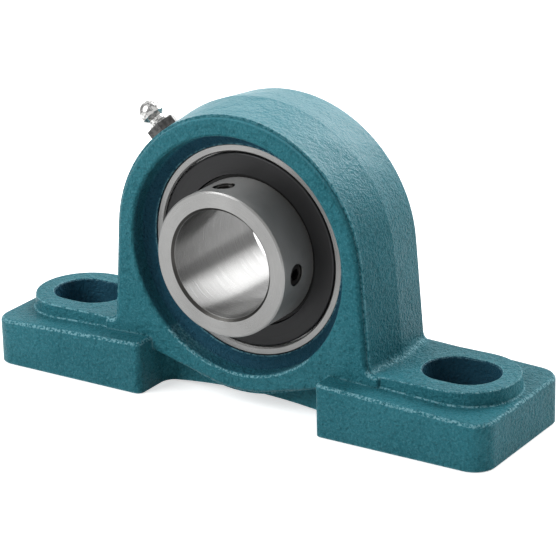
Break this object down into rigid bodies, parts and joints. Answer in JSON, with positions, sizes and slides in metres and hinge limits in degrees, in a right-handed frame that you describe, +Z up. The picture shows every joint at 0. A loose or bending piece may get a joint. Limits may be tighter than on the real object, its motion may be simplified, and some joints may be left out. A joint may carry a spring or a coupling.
{
  "type": "pillow block bearing",
  "caption": "Cast pillow block with two slotted feet holding a self-aligning ball bearing insert with set screws and a grease nipple.",
  "frame": {"origin": "on the base plane under the shaft centre, midway between the two bolt slots", "axes": "+Y along the shaft, away from the set screw collar; +X along the foot; +Z up from the base"},
  "size_m": [0.158, 0.0442, 0.0833],
  "materials": {
    "housing_paint": "semi-gloss teal paint over fine cast texture",
    "ring_steel": "ground and turned bearing steel",
    "pressed_steel": "pressed sheet steel",
    "seal_rubber": "black seal rubber",
    "flinger_steel": "dark grey pressed steel",
    "screw_steel": "dark hardened steel",
    "nipple_plate": "bright plated steel",
    "polished_steel": "polished steel"
  },
  "bodies": {
    "housing": {"housing": "housing_paint", "grease_nipple": "nipple_plate", "nipple_spring": "polished_steel"},
    "insert": {"outer_ring": "ring_steel", "seal_front": "seal_rubber", "seal_rear": "seal_rubber", "seal_plate_front": "pressed_steel", "seal_plate_rear": "pressed_steel"},
    "shaft_ring": {"inner_ring": "ring_steel", "flinger_front": "flinger_steel", "flinger_rear": "flinger_steel"},
    "cage": {"cage_front": "pressed_steel", "cage_rear": "pressed_steel", "cage_rivets": "pressed_steel"},
    "ball_1_body": {"ball_1": "polished_steel"},
    "ball_2_body": {"ball_2": "polished_steel"},
    "ball_3_body": {"ball_3": "polished_steel"},
    "ball_4_body": {"ball_4": "polished_steel"},
    "ball_5_body": {"ball_5": "polished_steel"},
    "ball_6_body": {"ball_6": "polished_steel"},
    "ball_7_body": {"ball_7": "polished_steel"},
    "ball_8_body": {"ball_8": "polished_steel"},
    "ball_9_body": {"ball_9": "polished_steel"},
    "set_screw_1_body": {"set_screw_1": "screw_steel"},
    "set_screw_2_body": {"set_screw_2": "screw_steel"},
    "valve_ball": {"nipple_ball": "polished_steel"}
  },
  "joints": [
    {"name": "insert_align", "type": "hinge", "parent": "housing", "child": "insert", "pos_m": [0, 0, 0.0429], "axis": [1, 0, 0], "range_deg": [-2.5, 2.5]},
    {"name": "shaft_spin", "type": "hinge", "parent": "insert", "child": "shaft_ring", "pos_m": [0, 0, 0.0429], "axis": [0, 1, 0], "continuous": true},
    {"name": "cage_orbit", "type": "hinge", "parent": "insert", "child": "cage", "pos_m": [0, 0, 0.0429], "axis": [0, 1, 0], "continuous": true},
    {"name": "ball_1_roll", "type": "hinge", "parent": "cage", "child": "ball_1_body", "pos_m": [0, 0, 0.0659], "axis": [0, 1, 0], "continuous": true},
    {"name": "ball_2_roll", "type": "hinge", "parent": "cage", "child": "ball_2_body", "pos_m": [-0.01478, 0, 0.06052], "axis": [0, 1, 0], "continuous": true},
    {"name": "ball_3_roll", "type": "hinge", "parent": "cage", "child": "ball_3_body", "pos_m": [-0.02265, 0, 0.04689], "axis": [0, 1, 0], "continuous": true},
    {"name": "ball_4_roll", "type": "hinge", "parent": "cage", "child": "ball_4_body", "pos_m": [-0.01992, 0, 0.0314], "axis": [0, 1, 0], "continuous": true},
    {"name": "ball_5_roll", "type": "hinge", "parent": "cage", "child": "ball_5_body", "pos_m": [-0.00787, 0, 0.02129], "axis": [0, 1, 0], "continuous": true},
    {"name": "ball_6_roll", "type": "hinge", "parent": "cage", "child": "ball_6_body", "pos_m": [0.00787, 0, 0.02129], "axis": [0, 1, 0], "continuous": true},
    {"name": "ball_7_roll", "type": "hinge", "parent": "cage", "child": "ball_7_body", "pos_m": [0.01992, 0, 0.0314], "axis": [0, 1, 0], "continuous": true},
    {"name": "ball_8_roll", "type": "hinge", "parent": "cage", "child": "ball_8_body", "pos_m": [0.02265, 0, 0.04689], "axis": [0, 1, 0], "continuous": true},
    {"name": "ball_9_roll", "type": "hinge", "parent": "cage", "child": "ball_9_body", "pos_m": [0.01478, 0, 0.06052], "axis": [0, 1, 0], "continuous": true},
    {"name": "set_screw_1_drive", "type": "slide", "parent": "shaft_ring", "child": "set_screw_1_body", "axis": [0.9986, 0, -0.0523], "range_m": [-0.0003, 0.0025]},
    {"name": "set_screw_2_drive", "type": "slide", "parent": "shaft_ring", "child": "set_screw_2_body", "axis": [-0.1045, 0, 0.9945], "range_m": [-0.0003, 0.0025]},
    {"name": "valve_lift", "type": "slide", "parent": "housing", "child": "valve_ball", "axis": [0.7071, 0, -0.7071], "range_m": [0, 0.0006], "stiffness_N_per_m": 100, "deforming": ["nipple_spring"]}
  ],
  "couplings": [
    {"joint": "cage_orbit", "follows": "shaft_spin", "ratio": 0.39647},
    {"joint": "ball_1_roll", "follows": "shaft_spin", "ratio": -2.3112},
    {"joint": "ball_2_roll", "follows": "shaft_spin", "ratio": -2.3112},
    {"joint": "ball_3_roll", "follows": "shaft_spin", "ratio": -2.3112},
    {"joint": "ball_4_roll", "follows": "shaft_spin", "ratio": -2.3112},
    {"joint": "ball_5_roll", "follows": "shaft_spin", "ratio": -2.3112},
    {"joint": "ball_6_roll", "follows": "shaft_spin", "ratio": -2.3112},
    {"joint": "ball_7_roll", "follows": "shaft_spin", "ratio": -2.3112},
    {"joint": "ball_8_roll", "follows": "shaft_spin", "ratio": -2.3112},
    {"joint": "ball_9_roll", "follows": "shaft_spin", "ratio": -2.3112}
  ]
}
